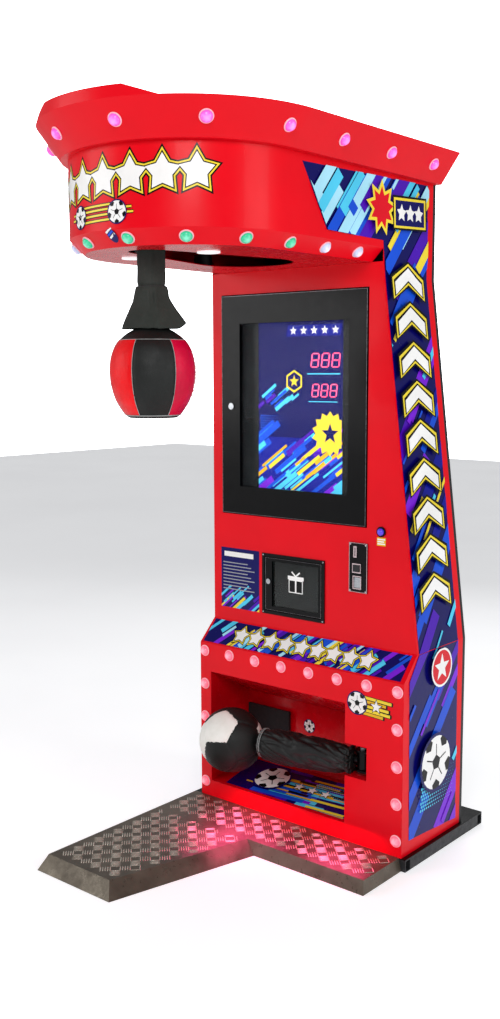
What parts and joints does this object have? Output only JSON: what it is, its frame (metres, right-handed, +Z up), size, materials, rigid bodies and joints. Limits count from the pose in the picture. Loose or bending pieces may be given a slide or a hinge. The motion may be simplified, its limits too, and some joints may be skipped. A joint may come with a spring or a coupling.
{
  "type": "boxing punch machine",
  "caption": "Arcade boxing machine: red cabinet with a swinging punch bag under a round hood, a kick ball on a side arm, display and prize doors, tread plate runway.",
  "frame": {"origin": "On the floor, under the lower cabinet's front face, below the punch bag's plane of symmetry.", "axes": "+X to the machine's right as a player sees it, +Y from the player into the machine, +Z up."},
  "size_m": [0.925, 1.3, 2.215],
  "materials": {
    "frame_steel": "black powder coat on welded tube",
    "tread_plate": "five-bar tread plate",
    "printed_side": "printed film on sheet steel",
    "red_casing": "glossy red paint",
    "red_liner": "glossy red paint",
    "back_board": "black laminated board",
    "bearing_iron": "painted housing",
    "black_rubber": "moulded rubber",
    "zinc_steel": "zinc plated",
    "pink_lamps": "clear tinted domes",
    "green_lamps": "clear tinted domes",
    "lens_plastic": "frosted lens",
    "black_plastic": "moulded",
    "art_plastic": "back-printed acrylic",
    "coin_black": "black with bright edge",
    "bracket_black": "satin black",
    "case_aluminium": "folded cover",
    "board_plastic": "circuit board",
    "neoprene": "neoprene sheet",
    "bag_leather": "stitched leather, padded",
    "nylon": "padded nylon sleeve",
    "black_door": "black lacquered board",
    "clear_glass": "clear",
    "lock_chrome": "polished",
    "black_alu": "black anodised",
    "button_plastic": "clear blue"
  },
  "bodies": {
    "cabinet": {"base_frame": "frame_steel", "base_plate": "tread_plate", "coin_box": "zinc_steel", "coin_plate": "coin_black", "coin_validator": "black_plastic", "column_frame": "frame_steel", "column_front_panel": "red_casing", "control_board": "board_plastic", "crown_lamps": "pink_lamps", "crown_shell": "red_casing", "crown_top_cover": "back_board", "display_frame": "black_door", "display_panel": "art_plastic", "downlights": "lens_plastic", "electronics_shelf": "zinc_steel", "front_lamps": "pink_lamps", "front_tread_plate": "tread_plate", "hood_frame": "frame_steel", "hood_lamps": "green_lamps", "hood_shell": "red_casing", "hood_underside_panel": "red_liner", "kicker_bracket": "bracket_black", "kicker_pivot_pin": "zinc_steel", "kicker_recess_liner": "red_liner", "kicker_stop_pad": "black_rubber", "latch_solenoid": "zinc_steel", "left_side_panel": "printed_side", "lower_front_panel": "red_casing", "power_inlet": "black_plastic", "power_supply": "case_aluminium", "prize_bin": "red_liner", "prize_frame": "coin_black", "punch_bearings": "bearing_iron", "rear_panel": "back_board", "right_side_panel": "printed_side", "runway_tread_plate": "tread_plate", "score_displays": "black_plastic", "slope_panel": "red_casing", "speakers": "black_plastic", "start_button_housing": "black_plastic", "stop_buffer": "black_rubber"},
    "punch": {"pivot_shaft": "zinc_steel", "punch_arm": "zinc_steel", "arm_sleeve": "neoprene", "bag_skirt": "neoprene", "punch_bag": "bag_leather"},
    "kicker": {"kicker_arm": "bracket_black", "kicker_sleeve": "nylon", "kicker_ball": "bag_leather"},
    "display_door": {"display_door_frame": "black_door", "display_door_glass": "clear_glass"},
    "display_lock": {"display_lock": "lock_chrome"},
    "prize_door": {"prize_door_frame": "black_alu", "prize_door_glass": "clear_glass"},
    "prize_lock": {"prize_lock": "lock_chrome"},
    "rear_door": {"rear_door": "back_board"},
    "rear_lock": {"rear_door_lock": "lock_chrome"},
    "start_button": {"start_button_cap": "button_plastic"},
    "coin_button": {"coin_return_button": "black_plastic"},
    "coin_flap": {"coin_return_flap": "zinc_steel"}
  },
  "joints": [
    {"name": "punch_swing", "type": "hinge", "parent": "cabinet", "child": "punch", "pos_m": [0, -0.556, 1.915], "axis": [1, 0, 0], "range_deg": [0, 86]},
    {"name": "kicker_swing", "type": "hinge", "parent": "cabinet", "child": "kicker", "pos_m": [0.312, 0.045, 0.3], "axis": [0, 0, -1], "range_deg": [0, 13.5], "stiffness_Nm_per_rad": 20, "springref_deg": -2.86},
    {"name": "display_door_swing", "type": "hinge", "parent": "cabinet", "child": "display_door", "pos_m": [0.265, 0.083, 1.4015], "axis": [0, 0, 1], "range_deg": [0, 100]},
    {"name": "display_lock_turn", "type": "hinge", "parent": "display_door", "child": "display_lock", "pos_m": [-0.257, 0.083, 1.4], "axis": [0, 1, 0], "range_deg": [0, 90]},
    {"name": "prize_door_swing", "type": "hinge", "parent": "cabinet", "child": "prize_door", "pos_m": [0.105, 0.08, 0.8105], "axis": [0, 0, 1], "range_deg": [0, 100]},
    {"name": "prize_lock_turn", "type": "hinge", "parent": "prize_door", "child": "prize_lock", "pos_m": [-0.097, 0.08, 0.819], "axis": [0, 1, 0], "range_deg": [0, 90]},
    {"name": "rear_door_swing", "type": "hinge", "parent": "cabinet", "child": "rear_door", "pos_m": [0.142, 0.3595, 1.175], "axis": [0, 0, -1], "range_deg": [0, 110]},
    {"name": "rear_lock_turn", "type": "hinge", "parent": "rear_door", "child": "rear_lock", "pos_m": [-0.14, 0.3595, 1.175], "axis": [0, 1, 0], "range_deg": [0, 90]},
    {"name": "start_button_press", "type": "slide", "parent": "cabinet", "child": "start_button", "axis": [0, 1, 0], "range_m": [0, 0.004], "stiffness_N_per_m": 300, "springref_m": -0.002},
    {"name": "coin_button_press", "type": "slide", "parent": "cabinet", "child": "coin_button", "axis": [0, 1, 0], "range_m": [0, 0.003], "stiffness_N_per_m": 300, "springref_m": -0.002},
    {"name": "coin_flap_swing", "type": "hinge", "parent": "cabinet", "child": "coin_flap", "pos_m": [0.262, 0.073, 0.873], "axis": [1, 0, 0], "range_deg": [0, 60]}
  ]
}
